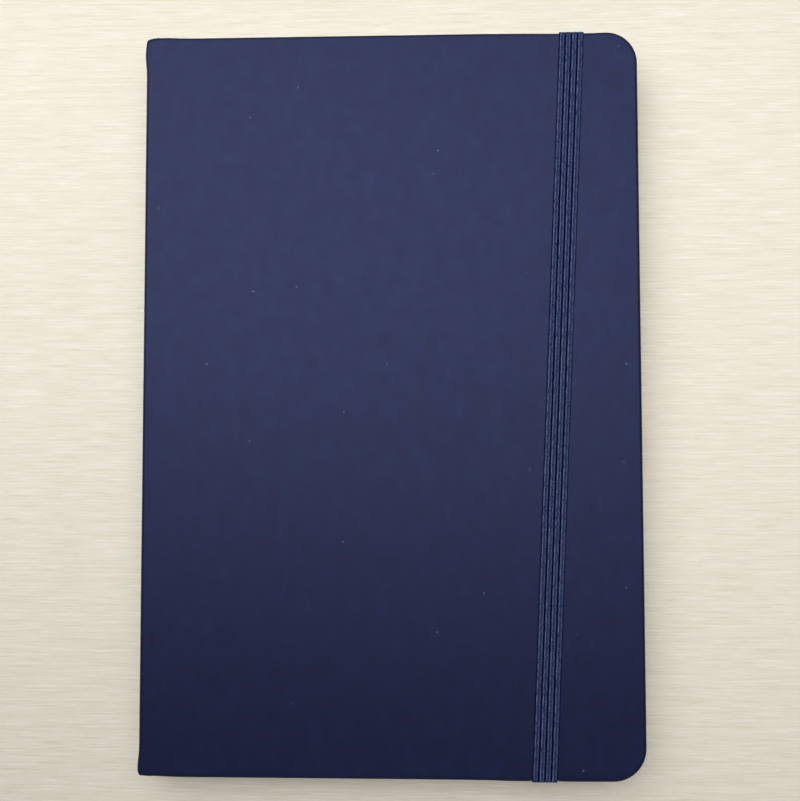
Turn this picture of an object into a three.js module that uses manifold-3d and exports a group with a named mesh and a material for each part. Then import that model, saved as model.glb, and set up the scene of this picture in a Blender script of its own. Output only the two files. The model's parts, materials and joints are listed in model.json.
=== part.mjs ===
// A hardcover pilot logbook: a navy case with rounded fore-edge corners, a sewn block of signatures,
// and an elastic band that holds it shut.
//
// Millimetres. The origin is the middle of the back cover's outer face.
// +X runs from the spine to the fore-edge, +Y from the tail to the head,
// and +Z from the back cover to the front cover.

import * as THREE from "three";
import { mergeVertices } from "three/addons/utils/BufferGeometryUtils.js";
import Module from "manifold-3d";

const wasm = await Module();
wasm.setup();

// ---------- Driving dimensions ----------

// The closed book.
const coverWidth = 142.7;
const coverHeight = 213;
const bookThickness = 17;
const foreCornerRadius = 9.3;
const spineCornerRadius = 2.5;
const edgeRadius = 0.8;

// The case: a covering skin turned in over boards, with a stiff strip in the spine.
const skinThickness = 0.5;
const turnInThickness = 0.4;
const turnInWidth = 15;
const boardThickness = 1.8;
const boardFromFold = 4.2;
const stripFromFold = 3.4;
const stripThickness = 1.2;
const glueFilm = 0.05;
const foldGap = 0.15;

// The endpapers and the sewn block.
const endpaperThickness = 0.15;
const square = 3;
const blockFromSpine = 2.8;
const signatureCount = 11;
const leavesPerSignature = 8;
const leafThickness = 0.11;
const threadDiameter = 0.3;
const threadMargin = 12;
const threadFromFold = 0.4;

// The lining and the bands on the block's spine.
const liningThickness = 0.3;
const bandTongue = 13;
const bandBeadDiameter = 1.5;

// The elastic: a flat ribbed strap that leans towards the spine at the tail.
const strapWidth = 7;
const strapThickness = 0.5;
const strapRibs = 4;
const grooveDepth = 0.2;
const grooveWidth = 0.35;
const strapClearance = 0.05;
const strapFromForeEdgeAtHead = 18.8;
const strapFromForeEdgeAtTail = 28.4;
const tabLength = 14;
const tabClearance = 0.15;

// ---------- Places worked out from them ----------

const spineX = -coverWidth / 2;
const foreEdgeX = coverWidth / 2;
const headY = coverHeight / 2;

const boardLow = skinThickness + glueFilm;
const boardHigh = boardLow + boardThickness;
const turnInLow = boardHigh + glueFilm;
const turnInHigh = turnInLow + turnInThickness;
const pastedownLow = turnInHigh + glueFilm;
const pastedownHigh = pastedownLow + endpaperThickness;
const flyleafLow = pastedownHigh + glueFilm;
const flyleafHigh = flyleafLow + endpaperThickness;
const blockLow = flyleafHigh + glueFilm;

const spineStripInner = spineX + boardLow + stripThickness;
const spineTurnInInner = spineStripInner + glueFilm + turnInThickness;
const blockX = spineX + blockFromSpine;
const blockForeX = foreEdgeX - square;
const blockHeadY = headY - square;
const middleZ = bookThickness / 2;

const signaturePitch = (bookThickness - 2 * blockLow) / signatureCount;
const signatureThickness = leavesPerSignature * leafThickness;
const middleSignature = (signatureCount + 1) / 2;

const strapHeadX = foreEdgeX - strapFromForeEdgeAtHead;
const strapTailX = foreEdgeX - strapFromForeEdgeAtTail;
const strapBottomZ = bookThickness + strapClearance;
const strapInnerY = headY + strapClearance;
const strapOuterY = strapInnerY + strapThickness;
const tabHigh = turnInHigh;
const tabLow = tabHigh - strapThickness;

// How far a cutting solid runs past what it cuts.
const past = 2;

// How finely the round shapes are drawn.
const cornerSteps = 8;
const easingSteps = 3;
const foldSteps = 6;
const threadSides = 6;
const beadSides = 10;
const snapGrid = 0.001;

// ---------- Materials ----------

function material(color, roughness) {
  return new THREE.MeshStandardMaterial({ color, roughness, metalness: 0 });
}

const navySkin = material(0x2b3156, 0.5);
const greyBoard = material(0x8d8a82, 0.9);
const endPaper = material(0xe9e3d2, 0.8);
const pagePaper = material(0xf3eedf, 0.85);
const linenThread = material(0xf5f2e8, 0.7);
const liningCloth = material(0xd8d3c4, 0.9);
const bandCloth = material(0x39427a, 0.7);
const elasticKnit = material(0x2f3a72, 0.75);

// ---------- Solids ----------

// Corners are snapped to a fine grid, so that faces drawn in one plane lie exactly in it.
function solidOf(geometry) {
  const bare = geometry.clone();
  bare.deleteAttribute("normal");
  bare.deleteAttribute("uv");
  const places = bare.attributes.position.array;
  places.forEach((value, index) => {
    places[index] = Math.round(value / snapGrid) * snapGrid;
  });
  const merged = mergeVertices(bare, snapGrid / 10);
  const mesh = new wasm.Mesh({
    numProp: 3,
    vertProperties: new Float32Array(merged.attributes.position.array),
    triVerts: new Uint32Array(merged.index.array),
  });
  return new wasm.Manifold(mesh);
}

function geometryOf(solid) {
  const mesh = solid.getMesh();
  const indexed = new THREE.BufferGeometry();
  indexed.setAttribute("position", new THREE.BufferAttribute(mesh.vertProperties, 3));
  indexed.setIndex(new THREE.BufferAttribute(mesh.triVerts, 1));
  const geometry = indexed.toNonIndexed();
  geometry.computeVertexNormals();
  return geometry;
}

// A box between two corners.
function block([x0, x1], [y0, y1], [z0, z1]) {
  const geometry = new THREE.BoxGeometry(x1 - x0, y1 - y0, z1 - z0);
  geometry.translate((x0 + x1) / 2, (y0 + y1) / 2, (z0 + z1) / 2);
  return solidOf(geometry);
}

// A plan outline about the X axis, with one radius at the fore-edge corners and one at the spine corners.
function planOutline(x0, x1, halfHeight, foreRadius, spineRadius) {
  const outline = new THREE.Shape();
  const quarter = Math.PI / 2;
  outline.moveTo(x0 + spineRadius, -halfHeight);
  outline.lineTo(x1 - foreRadius, -halfHeight);
  outline.absarc(x1 - foreRadius, -halfHeight + foreRadius, foreRadius, -quarter, 0);
  outline.lineTo(x1, halfHeight - foreRadius);
  outline.absarc(x1 - foreRadius, halfHeight - foreRadius, foreRadius, 0, quarter);
  outline.lineTo(x0 + spineRadius, halfHeight);
  if (spineRadius > 0) {
    outline.absarc(x0 + spineRadius, halfHeight - spineRadius, spineRadius, quarter, 2 * quarter);
    outline.lineTo(x0, -halfHeight + spineRadius);
    outline.absarc(x0 + spineRadius, -halfHeight + spineRadius, spineRadius, 2 * quarter, 3 * quarter);
  } else {
    outline.lineTo(x0, -halfHeight);
  }
  return outline;
}

// The cover's plan, inset all round.
function coverOutline(inset) {
  return planOutline(
    spineX + inset,
    foreEdgeX - inset,
    headY - inset,
    foreCornerRadius - inset,
    spineCornerRadius - inset,
  );
}

// An outline in plan, given a thickness between two heights, with its long edges eased where easing is given.
function plate(outline, z0, z1, easing = 0) {
  const geometry = new THREE.ExtrudeGeometry(outline, {
    depth: z1 - z0 - 2 * easing,
    curveSegments: cornerSteps,
    bevelEnabled: easing > 0,
    bevelThickness: easing,
    bevelSize: easing,
    bevelOffset: -easing,
    bevelSegments: easingSteps,
  });
  geometry.translate(0, 0, z0 + easing);
  return solidOf(geometry);
}

// A range of Y at the head (side = 1), or its mirror image at the tail (side = -1).
function endRange(side, near, far) {
  return side > 0 ? [near, far] : [-far, -near];
}

// A section drawn in X and Z, carried from one Y to another.
function barAlongY(points, y0, y1) {
  const outline = new THREE.Shape(points.map(([x, z]) => new THREE.Vector2(x, -z)));
  const geometry = new THREE.ExtrudeGeometry(outline, { depth: y1 - y0, bevelEnabled: false });
  geometry.rotateX(-Math.PI / 2);
  geometry.translate(0, y0, 0);
  return solidOf(geometry);
}

const logbook = new THREE.Group();

function addPiece(name, solid, pieceMaterial, group = logbook) {
  const mesh = new THREE.Mesh(geometryOf(solid), pieceMaterial);
  mesh.name = name;
  group.add(mesh);
  return mesh;
}

// Pieces of the front cover are drawn as those of the back cover and turned over about the book's middle.
const frontCoverGroup = new THREE.Group();
frontCoverGroup.scale.z = -1;
frontCoverGroup.position.z = bookThickness;
logbook.add(frontCoverGroup);

// ---------- The case ----------

// What lies beyond the fold line between a cover and the spine, which meet on a 45 degree mitre.
function beyondFold() {
  const reach = turnInHigh + past;
  const points = [
    [spineX + foldGap - past, -past],
    [spineX + foldGap + reach, reach],
    [spineX - past, reach],
    [spineX - past - foldGap, -past],
  ];
  return barAlongY(points, -headY - past, headY + past);
}

// The space that a strap's glued end takes in the back cover.
function tabRecess(side) {
  const x = side > 0 ? strapHeadX : strapTailX;
  const half = strapWidth / 2 + tabClearance;
  const y = endRange(side, headY - tabLength - tabClearance, headY + past);
  return block([x - half, x + half], y, [tabLow - glueFilm, tabHigh + past]);
}

// The covering of one cover: outer face, three edges and the turn-in that holds the board from inside.
function coverSkin() {
  const slab = plate(coverOutline(0), 0, turnInHigh, edgeRadius);
  const pocket = plate(coverOutline(skinThickness), skinThickness, turnInLow);
  const windowX = [spineX - past, foreEdgeX - turnInWidth];
  const windowY = headY - turnInWidth;
  const turnInWindow = block(windowX, [-windowY, windowY], [boardLow, turnInHigh + past]);
  return slab.subtract(pocket).subtract(turnInWindow).subtract(beyondFold());
}

function coverBoard() {
  const inset = skinThickness + glueFilm;
  const cornerRadius = foreCornerRadius - inset;
  const outline = planOutline(spineX + boardFromFold, foreEdgeX - inset, headY - inset, cornerRadius, 0);
  return plate(outline, boardLow, boardHigh);
}

// The spine's covering, with turn-ins at the head and the tail.
function spineSkin() {
  const whole = plate(coverOutline(0), 0, bookThickness, edgeRadius);
  const depth = spineTurnInInner - spineX;
  const between = barAlongY(
    [
      [spineX - past, foldGap - past],
      [spineTurnInInner, foldGap + depth],
      [spineTurnInInner, bookThickness - foldGap - depth],
      [spineX - past, bookThickness - foldGap + past],
    ],
    -headY - past,
    headY + past,
  );
  const inside = plate(coverOutline(skinThickness), -past, bookThickness + past);
  const throughBook = [-past, bookThickness + past];
  const stripRoom = block([spineX - past, spineStripInner + glueFilm], [-headY, headY], throughBook);
  const windowY = headY - turnInWidth;
  const turnInWindow = block([spineX + boardLow, spineX + depth + past], [-windowY, windowY], throughBook);
  return whole.intersect(between).subtract(inside.intersect(stripRoom)).subtract(turnInWindow);
}

function spineStrip() {
  const halfHeight = headY - spineCornerRadius - glueFilm;
  const across = [spineX + boardLow, spineStripInner];
  return block(across, [-halfHeight, halfHeight], [stripFromFold, bookThickness - stripFromFold]);
}

function addCase() {
  const recesses = tabRecess(1).add(tabRecess(-1));
  addPiece("back_skin", coverSkin().subtract(recesses), navySkin);
  addPiece("back_board", coverBoard().subtract(recesses), greyBoard);
  addPiece("front_skin", coverSkin(), navySkin, frontCoverGroup);
  addPiece("front_board", coverBoard(), greyBoard, frontCoverGroup);
  addPiece("spine_skin", spineSkin(), navySkin);
  addPiece("spine_strip", spineStrip(), greyBoard);
}

// ---------- The endpapers ----------

// The trimmed outline that the endpapers share with the sewn block.
function pageOutline() {
  return planOutline(blockX, blockForeX, blockHeadY, foreCornerRadius - square, 0);
}

// One folded sheet: the pastedown sinks into the turn-in's window, and the flyleaf lies on the block.
function endpaper() {
  const windowX = foreEdgeX - turnInWidth - glueFilm;
  const windowY = headY - turnInWidth - glueFilm;
  const drop = turnInThickness + glueFilm;
  const paper = endpaperThickness;
  const folded = plate(pageOutline(), pastedownLow, flyleafHigh);
  const sunk = block([blockX, windowX], [-windowY, windowY], [pastedownLow - drop, pastedownHigh]);
  const slit = block([blockX + paper, foreEdgeX], [-headY, headY], [pastedownHigh, flyleafLow]);
  const hollow = block(
    [blockX + paper, windowX - paper],
    [paper - windowY, windowY - paper],
    [pastedownLow - drop + paper, flyleafLow],
  );
  return folded.add(sunk).subtract(slit.add(hollow));
}

function addEndpapers() {
  addPiece("rear_endpaper", endpaper(), endPaper);
  addPiece("front_endpaper", endpaper(), endPaper, frontCoverGroup);
}

// ---------- The sewn block ----------

// Signature 1 lies under the front cover, and the last one on the back cover.
function signatureMiddle(number) {
  return bookThickness - blockLow - (number - 0.5) * signaturePitch;
}

// A half-round folded edge runs into flat leaves. The section is cut to the trimmed page outline.
function signatureSolid(z) {
  const radius = signatureThickness / 2;
  const points = [
    [blockForeX + past, z - radius],
    [blockForeX + past, z + radius],
  ];
  for (let step = 0; step <= foldSteps; step += 1) {
    const angle = Math.PI / 2 + (Math.PI * step) / foldSteps;
    points.push([blockX + radius + radius * Math.cos(angle), z + radius * Math.sin(angle)]);
  }
  const folded = barAlongY(points.reverse(), -blockHeadY - past, blockHeadY + past);
  const trimmed = plate(pageOutline(), z - past, z + past);
  const channel = threadRod(z, threadDiameter / 2 + glueFilm, blockHeadY + past);
  return folded.intersect(trimmed).subtract(channel);
}

// The thread's straight run inside a fold.
function threadRod(z, radius, halfLength) {
  const geometry = new THREE.CylinderGeometry(radius, radius, 2 * halfLength, threadSides);
  geometry.translate(blockX + threadFromFold, 0, z);
  return solidOf(geometry);
}

function addSignatures() {
  for (let number = 1; number <= signatureCount; number += 1) {
    const label = String(number).padStart(2, "0");
    const z = signatureMiddle(number);
    const whole = signatureSolid(z);
    if (number === middleSignature) {
      // The middle signature parts at its centre fold, where the book lies open.
      const above = block([spineX, foreEdgeX], [-headY, headY], [z + glueFilm / 2, z + past]);
      const below = block([spineX, foreEdgeX], [-headY, headY], [z - past, z - glueFilm / 2]);
      addPiece(`signature_${label}_front`, whole.intersect(above), pagePaper);
      addPiece(`signature_${label}_rear`, whole.intersect(below), pagePaper);
    } else {
      addPiece(`signature_${label}`, whole, pagePaper);
    }
    addPiece(`thread_${label}`, threadRod(z, threadDiameter / 2, blockHeadY - threadMargin), linenThread);
  }
}

// ---------- The lining and the bands ----------

// Each is drawn for the rear half of the block. The front half is its mirror image.
const liningX = [blockX - glueFilm - liningThickness, blockX - glueFilm];
const halfSpan = [pastedownHigh, middleZ - glueFilm];

function spineLining() {
  const halfHeight = blockHeadY - bandTongue - 2 * glueFilm;
  return block(liningX, [-halfHeight, halfHeight], halfSpan);
}

// A rounded bead stands on the block's end, and its tongue is glued to the spine.
function band(side) {
  const tongueY = [blockHeadY - bandTongue, blockHeadY + bandBeadDiameter / 2];
  const tongue = block(liningX, tongueY, halfSpan);
  const radius = bandBeadDiameter / 2;
  const bead = new THREE.CylinderGeometry(radius, radius, halfSpan[1] - halfSpan[0], beadSides);
  bead.rotateX(Math.PI / 2);
  bead.translate(liningX[0] + radius, blockHeadY + radius + glueFilm, (halfSpan[0] + halfSpan[1]) / 2);
  const solid = tongue.add(solidOf(bead));
  return side > 0 ? solid : solidOf(turnedToTail(geometryOf(solid)));
}

// A half turn about the vertical line through the lining, which keeps the faces pointing out.
function turnedToTail(geometry) {
  const middle = (halfSpan[0] + halfSpan[1]) / 2;
  geometry.translate(0, 0, -middle);
  geometry.rotateX(Math.PI);
  geometry.translate(0, 0, middle);
  return geometry;
}

function addSpineDressing() {
  const halves = [
    ["rear", logbook],
    ["front", frontCoverGroup],
  ];
  for (const [half, group] of halves) {
    addPiece(`spine_lining_${half}`, spineLining(), liningCloth, group);
    addPiece(`head_band_${half}`, band(1), bandCloth, group);
    addPiece(`tail_band_${half}`, band(-1), bandCloth, group);
  }
}

// ---------- The elastic ----------

// The strap's section: flat underneath, with grooves between its ribs on the outside.
function strapSection() {
  const ribPitch = strapWidth / strapRibs;
  const points = [
    [-strapWidth / 2, 0],
    [strapWidth / 2, 0],
    [strapWidth / 2, strapThickness - grooveDepth],
    [strapWidth / 2 - grooveWidth / 2, strapThickness],
  ];
  for (let rib = strapRibs - 1; rib >= 1; rib -= 1) {
    const x = -strapWidth / 2 + rib * ribPitch;
    points.push([x + grooveWidth / 2, strapThickness]);
    points.push([x, strapThickness - grooveDepth]);
    points.push([x - grooveWidth / 2, strapThickness]);
  }
  points.push([-strapWidth / 2 + grooveWidth / 2, strapThickness]);
  points.push([-strapWidth / 2, strapThickness - grooveDepth]);
  return points;
}

// The run across the front cover, sheared so that its ends stay parallel to the cover's head and tail.
function strapFrontRun() {
  const bar = geometryOf(barAlongY(strapSection(), -strapOuterY, strapOuterY));
  const lean = (strapHeadX - strapTailX) / (2 * headY);
  const shear = new THREE.Matrix4().makeShear(0, 0, lean, 0, 0, 0);
  bar.applyMatrix4(shear);
  bar.translate((strapHeadX + strapTailX) / 2, 0, strapBottomZ);
  return solidOf(bar);
}

// The run over an edge of the closed book, ribs outwards.
function strapSideRun(side) {
  const bar = geometryOf(barAlongY(strapSection(), tabLow, strapBottomZ - glueFilm));
  bar.rotateX(Math.PI / 2);
  bar.rotateZ(side > 0 ? Math.PI : 0);
  bar.translate(side > 0 ? strapHeadX : strapTailX, side * strapInnerY, 0);
  return solidOf(bar);
}

// The end glued between the turn-in and the pastedown.
function strapTab(side) {
  const x = side > 0 ? strapHeadX : strapTailX;
  const y = endRange(side, headY - tabLength, headY - glueFilm);
  return block([x - strapWidth / 2, x + strapWidth / 2], y, [tabLow, tabHigh]);
}

function addElastic() {
  addPiece("elastic_front_run", strapFrontRun(), elasticKnit);
  addPiece("elastic_head_run", strapSideRun(1), elasticKnit);
  addPiece("elastic_tail_run", strapSideRun(-1), elasticKnit);
  addPiece("elastic_head_tab", strapTab(1), elasticKnit);
  addPiece("elastic_tail_tab", strapTab(-1), elasticKnit);
}

addCase();
addEndpapers();
addSignatures();
addSpineDressing();
addElastic();

export default logbook;
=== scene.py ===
"""The looks of a hardcover pilot logbook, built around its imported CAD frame.

Metres, in the frame's axes: +X from the spine to the fore-edge, +Y from the tail to the head, and +Z from the
back cover to the front cover. The closed book lies on its back cover at z = 0.
"""

import json
import math

import bpy
import numpy as np
from mathutils import Matrix, Vector, noise


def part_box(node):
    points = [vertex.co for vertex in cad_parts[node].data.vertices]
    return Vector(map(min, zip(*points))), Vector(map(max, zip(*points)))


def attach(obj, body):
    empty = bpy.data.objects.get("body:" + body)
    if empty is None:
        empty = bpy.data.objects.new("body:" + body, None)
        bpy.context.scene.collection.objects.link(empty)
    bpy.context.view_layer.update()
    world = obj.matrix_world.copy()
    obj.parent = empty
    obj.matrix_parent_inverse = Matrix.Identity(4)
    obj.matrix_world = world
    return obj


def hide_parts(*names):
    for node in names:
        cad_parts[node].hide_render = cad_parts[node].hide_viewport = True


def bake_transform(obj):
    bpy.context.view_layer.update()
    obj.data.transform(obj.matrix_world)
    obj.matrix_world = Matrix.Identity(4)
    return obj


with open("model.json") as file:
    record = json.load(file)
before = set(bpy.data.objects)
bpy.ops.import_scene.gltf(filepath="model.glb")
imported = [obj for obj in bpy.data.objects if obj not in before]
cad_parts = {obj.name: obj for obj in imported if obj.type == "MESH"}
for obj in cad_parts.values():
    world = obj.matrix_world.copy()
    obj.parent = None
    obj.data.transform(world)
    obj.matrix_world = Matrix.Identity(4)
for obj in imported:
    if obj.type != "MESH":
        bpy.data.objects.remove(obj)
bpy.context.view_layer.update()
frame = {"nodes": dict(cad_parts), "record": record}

MM = 0.001
QUARTER = math.pi / 2

# ---------- Places read from the frame ----------

cover_low, cover_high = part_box("front_skin")
board_low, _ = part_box("front_board")
_, strip_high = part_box("spine_strip")
spine_low, spine_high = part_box("spine_skin")
page_low, page_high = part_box("signature_01")
run_low, run_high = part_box("elastic_front_run")
tab_low, tab_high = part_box("elastic_head_tab")

spine_x = spine_low.x
fore_x = cover_high.x
head_y = cover_high.y
book_top = cover_high.z
book_middle = book_top / 2
cover_depth = book_top - cover_low.z
spine_depth = spine_high.x - spine_x
block_x = page_low.x
block_fore_x = page_high.x
block_head_y = page_high.y
square = head_y - block_head_y
signature_depth = page_high.z - page_low.z
strap_width = tab_high.x - tab_low.x
strap_thickness = run_high.z - run_low.z

# ---------- Sizes that only the looks need ----------

# The case: its covering, its folds, the turn-in's depth between strip and board, and the edges' rounding.
skin_thickness = 0.5 * MM
fold_radius = 1.2 * MM
joint_depth = 1.0 * MM
fore_corner_radius = 9.3 * MM
arris = 0.9 * MM
# The block.
signature_count = 11
leaves_in_half = 4
leaf_thickness = 0.085 * MM
# The elastic: thinned by a share where it is stretched over the edges.
rib_count = 4
groove_depth = 0.26 * MM
edge_thinning = 0.48


# ---------- Meshes ----------

def add_object(name, points, faces):
    """A smooth-shaded mesh object from its points and faces."""
    mesh = bpy.data.meshes.new(name)
    mesh.from_pydata([tuple(p) for p in points], [], faces)
    mesh.validate()
    obj = bpy.data.objects.new(name, mesh)
    bpy.context.scene.collection.objects.link(obj)
    return obj


def grid_faces(rows, columns, first=0):
    """Quads between the points of a grid, listed row by row."""
    faces = []
    for r in range(rows - 1):
        for c in range(columns - 1):
            a = first + r * columns + c
            faces.append((a, a + 1, a + columns + 1, a + columns))
    return faces


def tube_faces(rings, sides, first=0):
    """Quads between closed rings, and a face over each end."""
    faces = []
    for r in range(rings - 1):
        for c in range(sides):
            a = first + r * sides + c
            b = first + r * sides + (c + 1) % sides
            faces.append((a, b, b + sides, a + sides))
    last = first + (rings - 1) * sides
    faces.append(tuple(first + c for c in reversed(range(sides))))
    faces.append(tuple(last + c for c in range(sides)))
    return faces


def store(obj, name, values):
    """Keeps a value or a vector at every point, for the materials."""
    values = np.asarray(values, np.float32)
    kind = "FLOAT_VECTOR" if values.ndim == 2 else "FLOAT"
    attribute = obj.data.attributes.new(name, kind, "POINT")
    attribute.data.foreach_set("vector" if values.ndim == 2 else "value", values.ravel())


def points_of(obj):
    """A piece's points as an array."""
    return np.array([v.co for v in obj.data.vertices], float).reshape(-1, 3)


def apply_modifiers(obj):
    """Puts the result of a piece's modifiers into its mesh."""
    graph = bpy.context.evaluated_depsgraph_get()
    obj.data = bpy.data.meshes.new_from_object(obj.evaluated_get(graph))
    obj.modifiers.clear()


def thicken(obj, thickness, offset):
    """Gives a sheet its thickness: offset -1 puts it behind the faces, and 0 on both sides of them."""
    solidify = obj.modifiers.new("thickness", "SOLIDIFY")
    solidify.thickness = thickness
    solidify.offset = offset
    apply_modifiers(obj)


def finish_mesh(obj, sharp_degrees=40):
    """Faces that point out, smooth shading up to an angle, and each point's rest place for the materials."""
    mesh = obj.data
    volume = 0.0
    points = points_of(obj)
    for face in mesh.polygons:
        a, *others = [points[i] for i in face.vertices]
        for b, c in zip(others, others[1:]):
            volume += a @ np.cross(b, c)
    if volume < 0:
        mesh.flip_normals()
    mesh.shade_smooth()
    mesh.set_sharp_from_angle(angle=math.radians(sharp_degrees))
    store(obj, "rest", points)
    return obj


def smoothstep(low, high, value):
    """Rises from 0 at low to 1 at high, with a soft start and end."""
    t = np.clip((value - low) / (high - low), 0, 1)
    return t * t * (3 - 2 * t)


def wander(value, spacing, seed):
    """A smooth random curve between -1 and 1, with bends about one spacing apart."""
    return noise.noise(Vector((value / spacing, seed * 7.31, 0.5)))


# ---------- Materials ----------

class Shader:
    """A material's node tree, with short calls for the nodes that the materials share."""

    def __init__(self, name, **surface):
        self.material = bpy.data.materials.new(name)
        self.material.use_nodes = True
        self.tree = self.material.node_tree
        self.surface = self.tree.nodes["Principled BSDF"]
        for socket, value in surface.items():
            self.surface.inputs[socket.replace("_", " ")].default_value = value

    def node(self, kind, inputs=(), **settings):
        made = self.tree.nodes.new(kind)
        for key, value in settings.items():
            setattr(made, key, value)
        for key, value in dict(inputs).items():
            self.feed(made.inputs[key], value)
        return made

    def feed(self, socket, value):
        if isinstance(value, bpy.types.NodeSocket):
            self.tree.links.new(value, socket)
        else:
            socket.default_value = value

    def attribute(self, name):
        return self.node("ShaderNodeAttribute", attribute_name=name)

    def rest_mm(self):
        """Every point's place at rest in millimetres, which stays with the piece as it bends."""
        place = self.attribute("rest").outputs["Vector"]
        return self.node("ShaderNodeVectorMath", {0: place, "Scale": 1 / MM}, operation="SCALE").outputs[0]

    def object_mm(self):
        """A point's place in the piece's own frame in millimetres."""
        place = self.node("ShaderNodeTexCoord").outputs["Object"]
        return self.node("ShaderNodeVectorMath", {0: place, "Scale": 1 / MM}, operation="SCALE").outputs[0]

    def stretched(self, place, scale):
        return self.node("ShaderNodeVectorMath", {0: place, 1: scale}, operation="MULTIPLY").outputs[0]

    def noise(self, place, scale, detail=2.0, roughness=0.5):
        inputs = {"Vector": place, "Scale": scale, "Detail": detail, "Roughness": roughness}
        return self.node("ShaderNodeTexNoise", inputs).outputs["Fac"]

    def cells(self, place, scale, **settings):
        return self.node("ShaderNodeTexVoronoi", {"Vector": place, "Scale": scale}, **settings)

    def math(self, operation, a, b=0.0):
        return self.node("ShaderNodeMath", {0: a, 1: b}, operation=operation).outputs[0]

    def spread(self, value, low, high, to_low=0.0, to_high=1.0):
        """Maps low..high to to_low..to_high, and no further."""
        inputs = {"Value": value, "From Min": low, "From Max": high, "To Min": to_low, "To Max": to_high}
        return self.node("ShaderNodeMapRange", inputs, clamp=True).outputs["Result"]

    def mix(self, share, a, b):
        made = self.node("ShaderNodeMix", data_type="RGBA")
        for socket, value in ((made.inputs[0], share), (made.inputs[6], a), (made.inputs[7], b)):
            self.feed(socket, value)
        return made.outputs[2]

    def bump(self, height, depth, normal=None):
        inputs = {"Height": height, "Distance": depth, "Strength": 1.0}
        if normal is not None:
            inputs["Normal"] = normal
        return self.node("ShaderNodeBump", inputs).outputs["Normal"]

    def separate(self, vector):
        return self.node("ShaderNodeSeparateXYZ", {0: vector}).outputs

    def use(self, colour=None, roughness=None, normal=None):
        for socket, value in (("Base Color", colour), ("Roughness", roughness), ("Normal", normal)):
            if value is not None:
                self.feed(self.surface.inputs[socket], value)
        return self.material


def soft_touch_skin():
    """Navy coated cover material: fine grain, faint mottling, scuffs, specks of dust, and polished edges that
    are darkened with painted shade.
    """
    s = Shader("soft_touch_skin", Specular_IOR_Level=0.6, Specular_Tint=(0.385, 0.445, 0.93, 1))
    place = s.rest_mm()
    mottle = s.noise(place, 0.06, 3.0, 0.6)
    patches = s.noise(s.stretched(place, (1.0, 0.6, 1.0)), 0.28, 4.0, 0.65)
    colour = s.mix(mottle, (0.0016, 0.0040, 0.025, 1), (0.0030, 0.0062, 0.032, 1))
    colour = s.mix(s.spread(patches, 0.50, 0.72, 0, 1), colour, (0.0034, 0.0092, 0.039, 1))
    colour = s.mix(s.spread(patches, 0.28, 0.46, 1, 0), colour, (0.0032, 0.0028, 0.020, 1))
    # Painted shade: the rounded edges and the spine's fold are darkened in patches, and the same mask makes
    # them a little glossier.
    edge_shade_and_polish = s.attribute("edge_shade_and_polish").outputs["Fac"]
    patchy_edge_shade_and_polish = s.math("MULTIPLY", edge_shade_and_polish, s.spread(s.noise(place, 0.8, 4.0), 0.35, 0.7, 0.15, 0.8))
    colour = s.mix(patchy_edge_shade_and_polish, colour, (0.0030, 0.0048, 0.022, 1))
    scuffs = s.noise(s.stretched(place, (0.9, 0.12, 0.9)), 1.1, 5.0, 0.7)
    colour = s.mix(s.spread(scuffs, 0.64, 0.80, 0, 0.20), colour, (0.05, 0.06, 0.11, 1))
    sheet = s.attribute("sheet").outputs["Vector"]
    specks = s.cells(sheet, 0.075, voronoi_dimensions="2D")
    near = s.spread(specks.outputs["Distance"], 0.010, 0.026, 1, 0)
    chosen = s.spread(s.separate(specks.outputs["Color"])[0], 0.84, 1.0)
    colour = s.mix(s.math("MULTIPLY", near, chosen), colour, (0.13, 0.15, 0.20, 1))
    rough = s.spread(s.noise(place, 0.25, 4.0), 0.3, 0.7, 0.485, 0.515)
    rough = s.math("SUBTRACT", rough, s.math("MULTIPLY", patchy_edge_shade_and_polish, 0.14))
    grain_cells = s.cells(place, 2.4, feature="SMOOTH_F1").outputs["Distance"]
    grain = s.math("ADD", s.noise(place, 3.2, 3.0, 0.65), grain_cells)
    normal = s.bump(s.noise(place, 0.04, 2.0), 0.02 * MM)
    return s.use(colour, rough, s.bump(grain, 0.008 * MM, normal))


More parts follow.
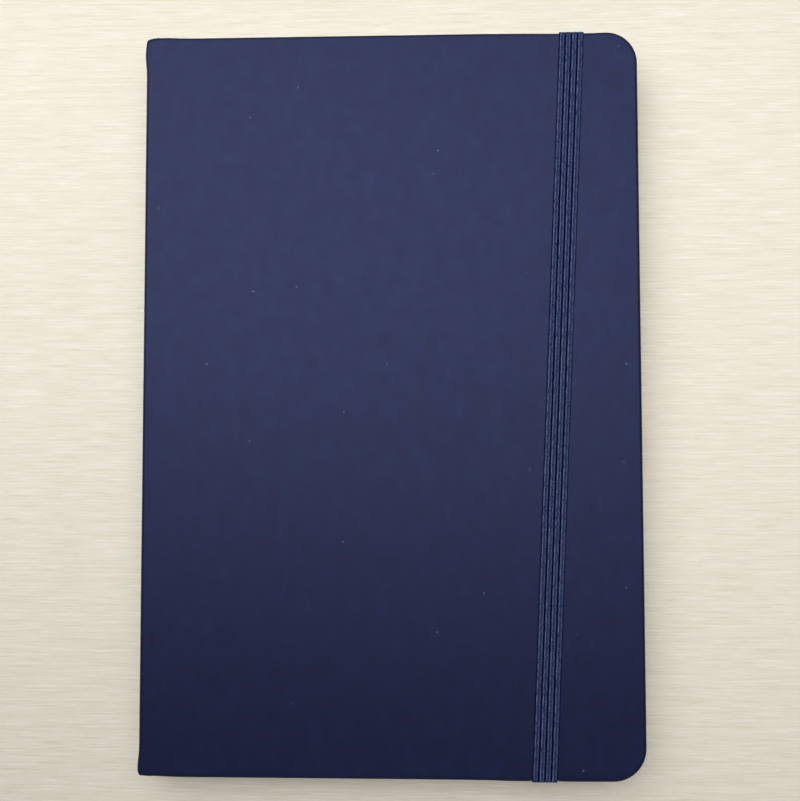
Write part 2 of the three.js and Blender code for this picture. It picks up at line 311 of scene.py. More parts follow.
def ribbed_elastic():
    """Knitted elastic: mottled ribs with a pale thread near each side, and painted shade in the grooves
    between them and along the strap's sides.
    """
    s = Shader("ribbed_elastic", Sheen_Weight=0.03, Sheen_Roughness=0.5, Specular_IOR_Level=0.08)
    s.surface.inputs["Specular Tint"].default_value = (0.35, 0.45, 1.0, 1)
    s.surface.inputs["Sheen Tint"].default_value = (0.4, 0.5, 1.0, 1)
    strap = s.attribute("strap").outputs["Vector"]
    across, _, from_groove = s.separate(strap)
    pitch = strap_width / rib_count / MM
    rib_share = s.math("FRACT", s.math("ADD", s.math("DIVIDE", across, pitch), rib_count / 2))
    in_rib = s.math("MULTIPLY", rib_share, pitch)
    streaks = s.noise(s.stretched(strap, (3.0, 0.45, 0.0)), 1.0, 3.0, 0.7)
    knit = s.noise(s.stretched(strap, (2.6, 1.7, 0.0)), 1.0, 3.0, 0.75)
    colour = s.mix(s.spread(knit, 0.40, 0.60), (0.003, 0.009, 0.050, 1), (0.040, 0.056, 0.135, 1))
    for middle, share in ((0.44, 1.0), (pitch - 0.46, 0.5)):
        beside = s.math("ABSOLUTE", s.math("SUBTRACT", in_rib, middle))
        on_thread = s.spread(beside, 0.07, 0.18, 1, 0)
        showing = s.spread(streaks, 0.38, 0.58, 0.05, share)
        colour = s.mix(s.math("MULTIPLY", on_thread, showing), colour, (0.135, 0.160, 0.290, 1))
    # Painted shade: near-black navy in the grooves and wherever from_groove is 0, such as the strap's sides.
    groove_shade = s.spread(from_groove, 0.20, 0.30, 1, 0)
    colour = s.mix(groove_shade, colour, (0.0003, 0.0022, 0.026, 1))
    fuzz = s.noise(strap, 6.0, 4.0, 0.7)
    height = s.math("ADD", s.math("MULTIPLY", knit, 1.2), s.math("MULTIPLY", fuzz, 0.5))
    return s.use(colour, s.spread(fuzz, 0.3, 0.7, 0.68, 0.85), s.bump(height, 0.05 * MM))


def stripes(s, value, pitch, width, soft=0.06):
    """1 on thin lines, one in each pitch."""
    share = s.math("FRACT", s.math("DIVIDE", value, pitch))
    distance = s.math("ABSOLUTE", s.math("SUBTRACT", share, 0.5))
    return s.spread(s.math("MULTIPLY", distance, pitch), width / 2, width / 2 + soft, 1, 0)


def between(s, value, low, high, soft=0.05):
    """1 from low to high, and 0 outside."""
    rise = s.spread(value, low - soft, low)
    return s.math("MULTIPLY", rise, s.spread(value, high, high + soft, 1, 0))


def ledger_paper():
    """Cream paper with fine fibres, ruled with the rows and columns of a logbook's page."""
    s = Shader("ledger_paper", Specular_IOR_Level=0.25)
    place = s.object_mm()
    x, y, _ = s.separate(place)
    fibres = s.noise(s.stretched(place, (1.0, 0.25, 1.0)), 2.6, 4.0, 0.65)
    colour = s.mix(fibres, (0.76, 0.73, 0.64, 1), (0.86, 0.84, 0.76, 1))
    left = block_x / MM + 14
    right = block_fore_x / MM - 7
    foot = -block_head_y / MM + 11
    top = block_head_y / MM - 13
    row_pitch = 8.0
    column_pitch = (right - left) / 8
    on_page = s.math("MULTIPLY", between(s, x, left, right), between(s, y, foot, top))
    rows = stripes(s, s.math("SUBTRACT", y, foot - row_pitch / 2), row_pitch, 0.16)
    columns = stripes(s, s.math("SUBTRACT", x, left - column_pitch / 2), column_pitch, 0.20)
    header = between(s, y, top - 0.45, top - 0.10)
    lines = s.math("MAXIMUM", s.math("MAXIMUM", rows, columns), header)
    ink = s.math("MULTIPLY", s.math("MULTIPLY", lines, on_page), 0.75)
    colour = s.mix(ink, colour, (0.16, 0.24, 0.40, 1))
    return s.use(colour, s.spread(fibres, 0.3, 0.7, 0.78, 0.90), s.bump(fibres, 0.01 * MM))


def plain_paper():
    """Heavier uncoated paper for the endpapers."""
    s = Shader("plain_paper", Specular_IOR_Level=0.25)
    place = s.object_mm()
    fibres = s.noise(place, 1.8, 5.0, 0.7)
    flecks = s.spread(s.noise(s.stretched(place, (1.0, 0.3, 1.0)), 5.0, 3.0), 0.68, 0.76, 0, 0.35)
    colour = s.mix(fibres, (0.70, 0.66, 0.54, 1), (0.80, 0.76, 0.65, 1))
    colour = s.mix(flecks, colour, (0.52, 0.46, 0.35, 1))
    return s.use(colour, s.spread(fibres, 0.3, 0.7, 0.74, 0.88), s.bump(fibres, 0.012 * MM))


def grey_board():
    """Bookbinder's grey board: recycled pulp with dark and light flecks."""
    s = Shader("grey_board", Specular_IOR_Level=0.2)
    place = s.object_mm()
    pulp = s.noise(place, 1.2, 5.0, 0.75)
    flecks = s.spread(s.noise(place, 4.5, 3.0), 0.62, 0.72, 0, 0.7)
    colour = s.mix(pulp, (0.21, 0.20, 0.18, 1), (0.34, 0.33, 0.30, 1))
    colour = s.mix(flecks, colour, (0.10, 0.095, 0.085, 1))
    return s.use(colour, s.spread(pulp, 0.3, 0.7, 0.85, 0.95), s.bump(pulp, 0.03 * MM))


def waxed_thread():
    """Linen thread: two twisted plies with a slight wax gloss, and painted shade in the crevices between
    them.
    """
    s = Shader("waxed_thread", Specular_IOR_Level=0.45)
    place = s.object_mm()
    x, y, z = s.separate(place)
    around = s.math("MULTIPLY", s.math("ADD", x, z), 12.0)
    ply = s.math("SINE", s.math("ADD", s.math("MULTIPLY", y, 9.0), around))
    fibres = s.noise(place, 9.0, 3.0)
    # Darker down the crevices between the plies, where the bump is lowest: painted shade.
    colour = s.mix(s.spread(ply, -1, 1), (0.62, 0.58, 0.48, 1), (0.84, 0.81, 0.72, 1))
    colour = s.mix(s.spread(fibres, 0.5, 0.8, 0, 0.3), colour, (0.50, 0.46, 0.36, 1))
    return s.use(colour, s.spread(fibres, 0.3, 0.7, 0.5, 0.7), s.bump(ply, 0.03 * MM))


def lining_cloth():
    """Open-weave cotton, stiffened with glue."""
    s = Shader("lining_cloth", Specular_IOR_Level=0.25)
    place = s.rest_mm()
    _, y, z = s.separate(place)
    warp = stripes(s, y, 0.62, 0.30, 0.12)
    weft = stripes(s, z, 0.62, 0.30, 0.12)
    weave = s.math("MAXIMUM", warp, weft)
    glue = s.noise(place, 0.7, 3.0)
    colour = s.mix(weave, (0.34, 0.30, 0.21, 1), (0.66, 0.62, 0.52, 1))
    colour = s.mix(s.spread(glue, 0.4, 0.8, 0, 0.4), colour, (0.50, 0.42, 0.26, 1))
    return s.use(colour, s.spread(glue, 0.3, 0.7, 0.6, 0.9), s.bump(weave, 0.06 * MM))


def band_cloth():
    """Woven band: navy and cream silk wound in turn round the bead, with painted shade between the strands.
    """
    s = Shader("band_cloth", Sheen_Weight=0.3, Specular_IOR_Level=0.4)
    place = s.rest_mm()
    _, _, z = s.separate(place)
    turns = stripes(s, z, 2.2, 1.1, 0.08)
    strands = s.math("SINE", s.math("MULTIPLY", z, 2 * math.pi / 0.24))
    fibres = s.noise(s.stretched(place, (1.0, 0.3, 3.0)), 5.0, 3.0)
    colour = s.mix(turns, (0.020, 0.030, 0.105, 1), (0.66, 0.62, 0.50, 1))
    # Near-black in the gaps between the wound strands: painted shade.
    colour = s.mix(s.spread(strands, -1, 0, 0.45, 0), colour, (0.012, 0.014, 0.030, 1))
    height = s.math("ADD", strands, fibres)
    return s.use(colour, s.spread(fibres, 0.3, 0.7, 0.45, 0.7), s.bump(height, 0.03 * MM))


def pale_table():
    """Cream paint brushed along X over wood: streaks of several widths."""
    s = Shader("pale_table", Specular_IOR_Level=0.3)
    place = s.object_mm()
    broad = s.noise(s.stretched(place, (0.035, 1.0, 1.0)), 0.55, 5.0, 0.65)
    fine = s.noise(s.stretched(place, (0.05, 1.0, 1.0)), 1.5, 4.0, 0.75)
    colour = s.mix(s.spread(broad, 0.3, 0.7), (0.81, 0.765, 0.655, 1), (0.87, 0.83, 0.725, 1))
    colour = s.mix(s.spread(fine, 0.52, 0.70, 0, 0.9), colour, (0.94, 0.92, 0.87, 1))
    colour = s.mix(s.spread(fine, 0.30, 0.47, 0.8, 0), colour, (0.72, 0.665, 0.54, 1))
    height = s.math("ADD", broad, s.math("MULTIPLY", fine, 0.6))
    return s.use(colour, s.spread(broad, 0.3, 0.7, 0.55, 0.65), s.bump(height, 0.08 * MM))


skin_material = soft_touch_skin()
elastic_material = ribbed_elastic()
page_material = ledger_paper()
endpaper_material = plain_paper()
board_material = grey_board()
thread_material = waxed_thread()
lining_material = lining_cloth()
band_material = band_cloth()


def dress(obj, material):
    """Gives a piece its material."""
    obj.data.materials.clear()
    obj.data.materials.append(material)
    return obj


def dress_cad(node, material):
    """Gives a CAD node that stays in view its finish, without touching its mesh."""
    for slot in frame["nodes"][node].material_slots:
        slot.material = material


# ---------- The case ----------

# A place on the case is given by s, the way along its outer face from the middle of the spine round the fold
# to the fore-edge, by y, and by depth, the way in from the outer face. It is worked out for the front half.
fold_start = book_middle - fold_radius
fold_end = fold_start + fold_radius * QUARTER
fore_s = fold_end + (fore_x - spine_x - fold_radius)
strip_end_s = strip_high.z - book_middle
board_s = fold_end + (board_low.x - spine_x - fold_radius)
mid_fold_s = (fold_start + fold_end) / 2


def case_point(s, y, depth):
    """The point in space at a place on the front half of the case."""
    if s < fold_start:
        return (spine_x + depth, y, book_middle + s)
    if s > fold_end:
        return (spine_x + fold_radius + s - fold_end, y, book_top - depth)
    angle = (s - fold_start) / fold_radius
    reach = fold_radius - depth
    x = spine_x + fold_radius - reach * math.cos(angle)
    return (x, y, book_top - fold_radius + reach * math.sin(angle))


class Edge:
    """The section of the wrapped edge at one s: how deep the turn-in lies, and how rounded the arrises are.

    The side is 1 at the head and -1 at the tail, where the spine's corners are tighter.
    """

    def __init__(self, s, side=1):
        slope = 0.35 * MM
        spine_reach, spine_drop = (2.3, 1.1) if side > 0 else (1.5, 0.9)
        spine = 1 - smoothstep(strip_end_s - slope, strip_end_s + slope, s)
        board = smoothstep(board_s - 2 * slope, board_s, s)
        joint = 1 - spine - board
        self.depth = spine * spine_depth + joint * joint_depth + board * cover_depth
        self.outer_reach = (spine * spine_reach + joint * 1.3) * MM + board * arris
        self.outer_depth = (spine * spine_drop + joint * 0.5) * MM + board * arris
        self.inner_reach = (spine * 1.2 + joint * 0.6 + board * 0.8) * MM
        self.inner_depth = (spine * 1.0 + joint * 0.45 + board * 0.8) * MM
        self.dip = 0.3 * spine_reach / 2 * MM * math.exp(-(((s - mid_fold_s) / (1.6 * MM)) ** 2))


# The rings of the wrap, from the turn-in's inner edge round the board's edge to the middle of the outer face:
# millimetres from the outline on the flats, and degrees round the arrises.
turn_in_rings = [15.0, 13.5, 11.0, 8.5, 6.5, 5.0, 3.8, 2.8, 2.0, 1.4]
inner_turn = [90, 72, 54, 36, 18, 0]
outer_turn = [0, 15, 30, 45, 60, 75, 90]
face_rings = [0.4, 1.0, 1.8, 3.0, 4.5, 6.5, 9.0, 12.0, 16.0, 22.0, 30.0, 42.0, 58.0, 78.0, 99.0]


def ring_places():
    """Each ring as (kind, value), in order."""
    rings = [("turn_in", value * MM) for value in turn_in_rings]
    rings += [("inner", math.radians(value)) for value in inner_turn]
    rings += [("outer", math.radians(value)) for value in outer_turn]
    rings += [("face", value * MM) for value in face_rings]
    return rings


def ring_section(kind, value, edge):
    """(offset from the outline, depth from the outer face) of a ring at an edge section."""
    if kind == "turn_in":
        return max(value, edge.inner_reach), edge.depth
    if kind == "inner":
        offset = edge.inner_reach * (1 - math.cos(value))
        return offset, edge.depth - edge.inner_depth * (1 - math.sin(value))
    if kind == "outer":
        return edge.outer_reach * (1 - math.cos(value)), edge.outer_depth * (1 - math.sin(value))
    spare = (edge.outer_reach - arris) * max(0.0, 1 - value / (12 * MM))
    return arris + value + spare, 0.0


def middle_x(node):
    """The middle of a CAD node along X."""
    low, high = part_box(node)
    return (low.x + high.x) / 2


strap_head_x = middle_x("elastic_head_run")
strap_tail_x = middle_x("elastic_tail_run")


def strap_centre_x(y):
    """The middle of the elastic at a height on the cover."""
    share = min(1.0, max(0.0, (y + head_y) / (2 * head_y)))
    return strap_tail_x + (strap_head_x - strap_tail_x) * share


def strap_centre_s(side):
    """Where the middle of the elastic crosses the cover's edge at the head (1) or the tail (-1)."""
    return fold_end + strap_centre_x(side * head_y) - spine_x - fold_radius


# How far the taut elastic pulls the covers' edges in at the head (1) and the tail (-1).
edge_pull = {1: 0.42 * MM, -1: 0.14 * MM}


def edge_sway(s, side):
    """How far a cover's edge strays inwards from a straight line, beside the spine and round the elastic."""
    from_spine = (s - mid_fold_s) / MM
    beside = (s - strap_centre_s(side)) / MM
    outside = max(0.0, abs(beside) - strap_width / 2 / MM)
    slack = 0.14 * (1 - smoothstep(-18, -7, beside))
    if side > 0:
        joint = -0.28 * math.exp(-(((from_spine - 5.5) / 4) ** 2))
        pull = math.exp(-((outside / 11) ** 2))
        return (joint + slack) * MM + edge_pull[side] * pull
    joint = 0.30 * math.exp(-(((from_spine - 2) / 6) ** 2))
    bulge = 0.14 * math.exp(-((beside / 18) ** 2))
    pull = math.exp(-((outside / 1.0) ** 2))
    return (joint - bulge + slack) * MM + edge_pull[side] * pull


def leg_places():
    """The s of each point along the head and the tail, closest at the fold and beside the elastic."""
    places = list(np.linspace(0, strip_end_s - 0.6 * MM, 6))
    places += list(np.arange(strip_end_s - 0.35 * MM, fold_start, 0.18 * MM))
    places += list(np.linspace(fold_start, fold_end, 17))
    places += list(np.arange(fold_end + 0.2 * MM, board_s + 0.8 * MM, 0.25 * MM))
    places += [board_s + step * MM for step in (1.5, 3.0, 6.0, 10.0, 15.0, 22.0)]
    last = fore_s - fore_corner_radius
    coarse = np.arange(board_s + 30 * MM, last, 8 * MM)
    fine = []
    for side in (-1, 1):
        middle = strap_centre_s(side)
        fine += [middle + step * MM for step in (-4.6, -4.0, -3.7, -3.4, -2, 0, 2, 3.4, 3.7, 4.0, 4.6)]
    kept = [s for s in coarse if min(abs(s - f) for f in fine) > 1.0 * MM and s < last - 2 * MM]
    return sorted(places + kept + [f for f in fine if f < last - 1 * MM]) + [last]


leg_s = leg_places()
corner_steps = 18
fore_steps = 24
# The innermost rings are shorter, as their corners can't get tighter: their legs are squeezed from here on.
squeezed_from = board_s + 10 * MM
smallest_radius = 1.5 * MM
# The sways of the edge die out this far in from the outline.
sway_reach = 4 * MM


def outline(offset_of):
    """The points (s, y, edge section) of one ring, from the spine's head round the fore-edge to its tail."""
    board_edge = Edge(fore_s)
    offset, _ = offset_of(board_edge)
    radius = max(fore_corner_radius - offset, smallest_radius)
    corner_s = fore_s - offset - radius
    corner_y = head_y - offset - radius
    halves = []
    for side in (1, -1):
        half = []
        for s in leg_s:
            edge = Edge(s, side)
            inset, _ = offset_of(edge)
            inset += (edge.dip + edge_sway(s, side)) * max(0.0, 1 - inset / sway_reach)
            if s > squeezed_from:
                share = (s - squeezed_from) / (leg_s[-1] - squeezed_from)
                s = squeezed_from + share * (corner_s - squeezed_from)
            half.append((s, side * (head_y - inset), edge))
        for step in range(1, corner_steps):
            angle = QUARTER * step / corner_steps
            s = corner_s + radius * math.sin(angle)
            inset = edge_sway(s, side) * max(0.0, 1 - offset / sway_reach) * math.cos(angle)
            half.append((s, side * (corner_y + radius * math.cos(angle) - inset), board_edge))
        halves.append(half)
    fore = []
    for step in range(fore_steps + 1):
        fore.append((corner_s + radius, corner_y * (1 - 2 * step / fore_steps), board_edge))
    return halves[0] + fore + halves[1][::-1]


def gathered(s, y, offset):
    """How deep the turned-in skin's gathers go at a fore-edge corner."""
    across = s - (fore_s - fore_corner_radius)
    up = abs(y) - (head_y - fore_corner_radius)
    if across <= 0 or up <= 0:
        return 0.0
    angle = math.atan2(up, across)
    window = math.sin(2 * angle) ** 0.5
    return 0.10 * MM * window * math.cos(26 * angle) * math.exp(-((offset - 3 * MM) / (3.5 * MM)) ** 2)


def cap_bulge(s, y):
    """How far the covering stands out over the ends of the spine's strip, where the turn-in is bunched."""
    height, middle, reach = (0.42, 5.0, 3.3) if y > 0 else (0.40, 3.0, 3.0)
    along = math.exp(-(((head_y - abs(y)) / MM - middle) / reach) ** 2)
    return height * MM * along * (1 - smoothstep(mid_fold_s, fold_end + 0.6 * MM, s))


def elastic_recess(x, y, offset):
    """How far the back cover's turn-in is pressed down where the elastic crosses it."""
    beside = abs(x - strap_centre_x(math.copysign(head_y, y))) - strap_width / 2
    share = 1 - smoothstep(0.0, 0.15 * MM, beside)
    return share * 0.66 * MM * (1 - smoothstep(13.0 * MM, 14.5 * MM, offset))


def case_half(name, front):
    """The covering of one cover and half the spine: one skin, turned in at the head, fore-edge and tail."""
    points, edge_shade_and_polish, sheet = [], [], []
    rings = ring_places()
    for kind, value in rings:
        turned_in = kind in ("turn_in", "inner")
        ring = outline(lambda edge: ring_section(kind, value, edge))
        for s, y, edge in ring:
            offset, depth = ring_section(kind, value, edge)
            if turned_in:
                depth += gathered(s, y, offset)
            else:
                depth -= cap_bulge(s, y)
                depth += 0.02 * MM * (1 + wander(s + 3 * y, 31 * MM, 3.0))
            if turned_in and not front:
                pressed = elastic_recess(spine_x + fold_radius + s - fold_end, y, offset)
                depth -= pressed * (1.0 if kind == "turn_in" else math.sin(value) ** 2)
            points.append(case_point(s, y, depth))
            sheet.append((s / MM if front else -s / MM, y / MM, 0))
            # Where the skin is darkened with painted shade and made glossier: round the outer arrises and
            # along the spine's fold.
            rounding = math.sin(2 * value) if kind == "outer" else 0.0
            edge_shade_and_polish.append(rounding + 0.7 * math.exp(-(((s - mid_fold_s) / (0.9 * MM)) ** 2)))
    count = len(points) // len(rings)
    faces = grid_faces(len(rings), count)
    first = (len(rings) - 1) * count
    for i in range(len(leg_s) - 1):
        faces.append((first + i, first + i + 1, first + count - 2 - i, first + count - 1 - i))
    faces.append(tuple(range(first + len(leg_s) - 1, first + count - len(leg_s) + 1)))
    points = np.array(points)
    if not front:
        points[:, 2] = np.maximum(book_top - points[:, 2], 0)
    obj = add_object(name, points, faces)
    store(obj, "edge_shade_and_polish", edge_shade_and_polish)
    store(obj, "sheet", sheet)
    orient(obj, front)
    thicken(obj, skin_thickness, -1)
    return dress(finish_mesh(obj, 50), skin_material)


def orient(obj, front):
    """Turns the sheet's faces outwards, judged on the cover's outer face."""
    outward = 1 if front else -1
    level = book_top if front else 0.0
    for face in obj.data.polygons:
        if abs(face.center.z - level) < 0.1 * MM and face.center.x > spine_x + 20 * MM:
            if face.normal.z * outward < 0:
                obj.data.flip_normals()
            return


def add_case():
    """The covering's two halves, each bending at one fold, and finishes for the CAD boards and endpapers."""
    front_wrap = case_half("front_wrap", True)
    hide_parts("front_skin", "spine_skin")
    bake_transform(front_wrap)
    back_wrap = case_half("back_wrap", False)
    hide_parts("back_skin")
    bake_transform(back_wrap)
    for node in ("front_board", "back_board", "spine_strip"):
        dress_cad(node, board_material)
    for node in ("front_endpaper", "rear_endpaper"):
        dress_cad(node, endpaper_material)


# ---------- The sewn block ----------

thread_low, thread_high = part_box("thread_06")
thread_x = (thread_low.x + thread_high.x) / 2
thread_radius = (thread_high.z - thread_low.z) / 2
page_radius = fore_corner_radius - square
leaf_pitch = signature_depth / (2 * leaves_in_half)


def leaf_distance(sheet, x):
    """How far a leaf lies from its signature's middle: the leaves squeeze together beside the thread."""
    outer = leaves_in_half * leaf_pitch
    squeezed = (outer - thread_radius) / leaves_in_half
    squeeze = 1 - smoothstep(0.5 * MM, 6 * MM, x - thread_x)
    pitch = squeeze * squeezed + (1 - squeeze) * leaf_pitch
    return outer - pitch * (sheet + 0.5)


def leaf_columns(sheet):
    """(x, distance from the middle) along half a folded sheet, from the fore-edge to the fold's middle."""
    columns = []
    for step in range(13):
        x = block_fore_x - page_radius + page_radius * math.cos(QUARTER * step / 12)
        columns.append((x, leaf_distance(sheet, x)))
    for share in (0.15, 0.3, 0.45, 0.6, 0.75, 0.87, 0.94, 0.97, 0.985):
        x = block_fore_x - page_radius - share * (block_fore_x - page_radius - thread_x)
        columns.append((x, leaf_distance(sheet, x)))
    reach = leaf_distance(sheet, thread_x)
    fold_x = block_x + leaves_in_half * leaf_pitch
    for step in range(9):
        angle = QUARTER * step / 8
        columns.append((fold_x - reach * math.sin(angle), reach * math.cos(angle)))
    return columns


def signature(number, middle, sides):
    """One gathering of folded sheets. sides lists which halves it has: 1 above its middle, -1 below."""
    rows = 13
    points, faces = [], []
    for sheet in range(leaves_in_half):
        half = leaf_columns(sheet)
        path = []
        if 1 in sides:
            path += [(x, middle + reach) for x, reach in half]
        if -1 in sides:
            below = [(x, middle - reach) for x, reach in reversed(half)]
            path += below[1:] if 1 in sides else below
        trim = 0.05 * MM * wander(number * 4 + sheet, 1.3, 2.0)
        first = len(points)
        for x, z in path:
            over = max(0.0, x - (block_fore_x - page_radius))
            cut = page_radius - math.sqrt(max(0.0, page_radius**2 - over**2))
            limit = block_head_y - cut + trim * 0.6
            push = trim * smoothstep(block_fore_x - 20 * MM, block_fore_x, x)
            for row in range(rows):
                y = limit * (2 * row / (rows - 1) - 1)
                wave = 0.012 * MM * wander(x + 2.1 * y, 23 * MM, 1.0)
                points.append((x + push, y, z + wave))
        faces += grid_faces(len(path), rows, first)
    label = f"signature_{number:02d}"
    suffix = {(1,): "_front", (-1,): "_rear"}.get(sides, "")
    obj = add_object(f"{label}{suffix}_leaves", points, faces)
    thicken(obj, leaf_thickness, 0)
    dress(finish_mesh(obj, 35), page_material)
    node = label + suffix
    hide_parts(node)
    body = next(name for name, nodes in frame["record"]["behaviour"]["bodies"].items() if node in nodes)
    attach(obj, body)


def stitches():
    """The thread's long stitches in the centre fold: pairs of twisted plies that dive through the paper."""
    rings_each, sides, count = 70, 10, 5
    gap = 3.0 * MM
    length = (thread_high.y - thread_low.y - gap * (count - 1)) / count
    points, faces = [], []
    for stitch in range(count):
        low = thread_low.y + stitch * (length + gap)
        first = len(points)
        for ring in range(rings_each):
            share = ring / (rings_each - 1)
            y = low + share * length
            dive = 0.35 * MM * (abs(2 * share - 1) ** 14)
            twist = y / (1.1 * MM) * math.pi
            for side in range(sides):
                angle = 2 * math.pi * side / sides
                radius = thread_radius * (0.78 + 0.20 * math.cos(2 * (angle - twist)))
                x = thread_x + radius * math.cos(angle)
                points.append((x, y, book_middle - dive + radius * math.sin(angle)))
        faces += tube_faces(rings_each, sides, first)
    obj = add_object("centre_stitches", points, faces)
    dress(finish_mesh(obj), thread_material)
    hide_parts("thread_06")
    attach(obj, "signature_06_rear")


def add_block():
    """The signatures and their threads. The middle signature is split at its fold."""
    middle_number = (signature_count + 1) // 2
    for number in range(1, signature_count + 1):
        if number == middle_number:
            signature(number, book_middle, (1,))
            signature(number, book_middle, (-1,))
            continue
        low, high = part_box(f"signature_{number:02d}")
        signature(number, (low.z + high.z) / 2, (1, -1))
        dress_cad(f"thread_{number:02d}", thread_material)
    stitches()


# ---------- The lining and the bands ----------


def follow_block(obj, half):
    """Bakes the piece's place into its mesh, in the same way for either half of the block."""
    if half == "rear":
        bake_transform(obj)
    else:
        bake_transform(obj)


def spine_lining(half):
    """Half of the cloth that is glued down the block's spine, slightly rippled."""
    node = f"spine_lining_{half}"
    low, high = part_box(node)
    rows, columns = 15, 90
    points = []
    for row in range(rows):
        z = low.z + (high.z - low.z) * row / (rows - 1)
        for column in range(columns):
            y = low.y + (high.y - low.y) * column / (columns - 1)
            ripple = 0.015 * MM * wander(y, 5 * MM, 4.0)
            points.append((high.x - 0.10 * MM + ripple, y, z))
    obj = add_object(f"{node}_cloth", points, grid_faces(rows, columns))
    thicken(obj, 0.12 * MM, 0)
    dress(finish_mesh(obj), lining_material)
    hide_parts(node)
    follow_block(obj, half)


def end_band(end, half):
    """A bead wound with thread over the block's end, and the tongue that is glued down the spine."""
    node = f"{end}_band_{half}"
    low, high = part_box(node)
    side = 1 if end == "head" else -1
    back_x = low.x + 0.13 * MM
    radius = (high.x - back_x) / 2
    bead_y = block_head_y + radius + 0.05 * MM
    tongue_end = min(abs(low.y), abs(high.y))
    tongue_x = back_x + 0.15 * MM
    steps, bead_steps = 56, 16
    points = []
    for step in range(steps):
        z = low.z + (high.z - low.z) * step / (steps - 1)
        wound = radius * (1 - 0.07 * (0.5 + 0.5 * math.cos(2 * math.pi * (z / MM) / 0.42)))
        section = [(back_x, tongue_end), (back_x, (tongue_end + block_head_y) / 2), (back_x, block_head_y)]
        for turn in range(bead_steps + 1):
            angle = math.pi - turn * 1.3 * math.pi / bead_steps
            section.append((back_x + radius + wound * math.cos(angle), bead_y + wound * math.sin(angle)))
        section += [(tongue_x, block_head_y + 0.06 * MM), (tongue_x, (tongue_end + block_head_y) / 2)]
        section.append((tongue_x, tongue_end))
        points += [(x, side * y, z) for x, y in section]
    obj = add_object(f"{node}_weave", points, tube_faces(steps, len(section)))
    dress(finish_mesh(obj, 60), band_material)
    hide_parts(node)
    follow_block(obj, half)


def add_spine_dressing():
    """The lining and the bands, each in a front and a rear half."""
    for half in ("front", "rear"):
        spine_lining(half)
        for end in ("head", "tail"):
            end_band(end, half)


# ---------- The elastic ----------

def strap_edge_y(side):
    """How far out the strap's inner face lies beside the head (1) or the tail (-1)."""
    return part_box("elastic_head_run")[0].y - edge_sway(strap_centre_s(side), side)


def strap_half(side):
    """The strap's inner face, from the middle of the front cover over one edge of the book to the glued end.

    Each place is (y, z, direction of the strap's outer face in degrees).
    """
    edge_y = strap_edge_y(side)
    over_cover = run_low.z
    top_radius = 0.6 * MM
    low_radius = 0.25 * MM
    flat_step, side_step = 0.8 * MM, 0.6 * MM
    half = [(y, over_cover, 90) for y in np.arange(0, edge_y - top_radius, flat_step)]
    for angle in range(90, -1, -10):
        turn = math.radians(angle)
        y = edge_y - top_radius + top_radius * math.cos(turn)
        half.append((y, over_cover - top_radius + top_radius * math.sin(turn), angle))
    for z in np.arange(over_cover - top_radius - 0.4 * MM, tab_high.z + low_radius, -side_step):
        half.append((edge_y, z, 0))
    for angle in range(0, -91, -15):
        turn = math.radians(angle)
        y = edge_y - low_radius + low_radius * math.cos(turn)
        half.append((y, tab_high.z + low_radius + low_radius * math.sin(turn), angle))
    for y in np.arange(edge_y - low_radius - side_step, tab_low.y, -flat_step):
        half.append((y, tab_high.z, -90))
    return half


def strap_path():
    """The strap's inner face from the end glued at the tail to the end glued at the head."""
    tail = [(-y, z, 180 - angle) for y, z, angle in strap_half(-1)[:0:-1]]
    return tail + strap_half(1)


def rib_height(from_groove):
    """1 on a rib's two rows of stitches and 0 in a groove, with a soft hollow between the rows."""
    wall = 1 - max(0.0, 1 - from_groove / (0.30 * MM)) ** 2.2
    middle = strap_width / rib_count / 2 - from_groove
    return wall * (1 - 0.16 * math.exp(-((middle / (0.3 * MM)) ** 2)))


def elastic_strap():
    """The whole ribbed strap: over the front cover, round both edges and under the rear endpaper."""
    path = strap_path()
    per_rib = 12
    steps = per_rib * rib_count
    top = [strap_width * (i / steps - 0.5) for i in range(steps + 1)]
    points, strap = [], []
    along = 0.0
    previous = None
    for y, z, degrees in path:
        turn = math.radians(degrees)
        out_y, out_z = math.cos(turn), math.sin(turn)
        if previous is not None:
            along += math.hypot(y - previous[0], z - previous[1])
        previous = (y, z)
        glued = z < tab_high.z + 0.25 * MM
        middle = strap_centre_x(math.copysign(head_y, y) if glued else y)
        middle += 0.05 * MM * wander(along, 17 * MM, 5.0)
        spread = 1 + 0.010 * wander(along, 9 * MM, 6.0)
        from_edge = strap_edge_y(1 if y > 0 else -1) - abs(y)
        thinned = 1 - edge_thinning * (1 - smoothstep(0.6 * MM, 7 * MM, from_edge))
        section = []
        for step, across in enumerate(top):
            # The strap's two side rows and its inner face have a from_groove of 0, so the material paints
            # them with the grooves' painted shade.
            from_groove = min(step % per_rib, -step % per_rib) * strap_width / steps
            height = thinned * (strap_thickness - groove_depth * (1 - rib_height(from_groove)))
            sway = 0.04 * MM * wander(along + across * 40, 6 * MM, 8.0)
            section.append((across + sway, height, from_groove))
        for across in (strap_width / 2 - 0.08 * MM, 0.0, -strap_width / 2 + 0.08 * MM):
            section.append((across, 0.0, 0.0))
        for across, height, from_groove in section:
            points.append((middle + across * spread, y + out_y * height, z + out_z * height))
            strap.append((across / MM, along / MM, from_groove / MM))
    obj = add_object("elastic_strap", points, tube_faces(len(path), steps + 4))
    finish_mesh(obj, 70)
    store(obj, "strap", strap)
    dress(obj, elastic_material)
    runs = ("elastic_front_run", "elastic_head_run", "elastic_tail_run")
    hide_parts(*runs, "elastic_head_tab", "elastic_tail_tab")
    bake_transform(obj)


# ---------- Table, light and camera ----------

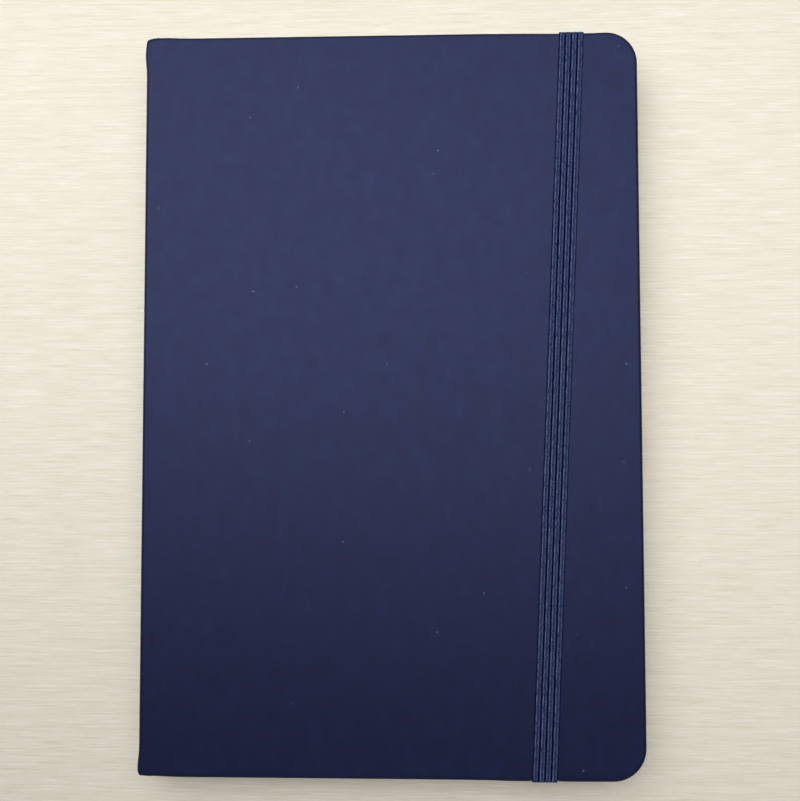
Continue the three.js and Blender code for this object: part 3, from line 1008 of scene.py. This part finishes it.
def add_table():
    """A flat square of the table top."""
    half = 0.9
    points = [(-half, -half, 0), (half, -half, 0), (half, half, 0), (-half, half, 0)]
    table = add_object("table", points, [(0, 1, 2, 3)])
    table.data.materials.append(pale_table())


def add_softbox(name, place, aim, size, power, spread_degrees, roll_degrees=0.0):
    """A rectangular light with its long side along X, but for its roll."""
    place = Vector(place)
    light = bpy.data.lights.new(name, "AREA")
    light.shape = "RECTANGLE"
    light.size, light.size_y = size
    light.spread = math.radians(spread_degrees)
    light.energy = power
    light.color = (1.0, 0.985, 0.95)
    obj = bpy.data.objects.new(name, light)
    bpy.context.scene.collection.objects.link(obj)
    obj.location = place
    back = (place - Vector(aim)).normalized()
    right = Vector((0, 1, 0)).cross(back).normalized()
    axes = Matrix((right, back.cross(right), back)).transposed()
    obj.rotation_euler = (axes @ Matrix.Rotation(math.radians(roll_degrees), 3, "Z")).to_euler()


def add_lights():
    """A wide, low softbox past the book's head, which lights the tail less, and a weak fill from the tail."""
    add_softbox("softbox", (0.154, 0.181, 0.55), (0.243, 0.071, 0.0), (2.0, 0.52), 3.95, 94, -5.8)
    add_softbox("fill", (0.05, -0.75, 0.45), (0.0, 0.0, 0.0), (1.0, 0.4), 0.6, 180)


def add_room():
    """Faint light from all round, and plain colours in the picture."""
    world = bpy.data.worlds.new("room")
    world.use_nodes = True
    background = world.node_tree.nodes["Background"]
    background.inputs["Color"].default_value = (0.95, 0.97, 1.0, 1)
    background.inputs["Strength"].default_value = 0.08
    bpy.context.scene.world = world
    bpy.context.scene.view_settings.view_transform = "Standard"


def add_camera():
    """Straight above the cover, tipped by about three degrees."""
    camera = bpy.data.cameras.new("camera")
    camera.sensor_width = 36
    camera.lens = 44.94
    obj = bpy.data.objects.new("camera", camera)
    bpy.context.scene.collection.objects.link(obj)
    obj.location = (0.01255, -0.01494, book_top + 0.2843)
    obj.rotation_euler = tuple(math.radians(angle) for angle in (2.97, 1.96, -0.09))
    bpy.context.scene.camera = obj


add_camera()
add_lights()
add_room()
add_table()
add_case()
add_block()
add_spine_dressing()
elastic_strap()
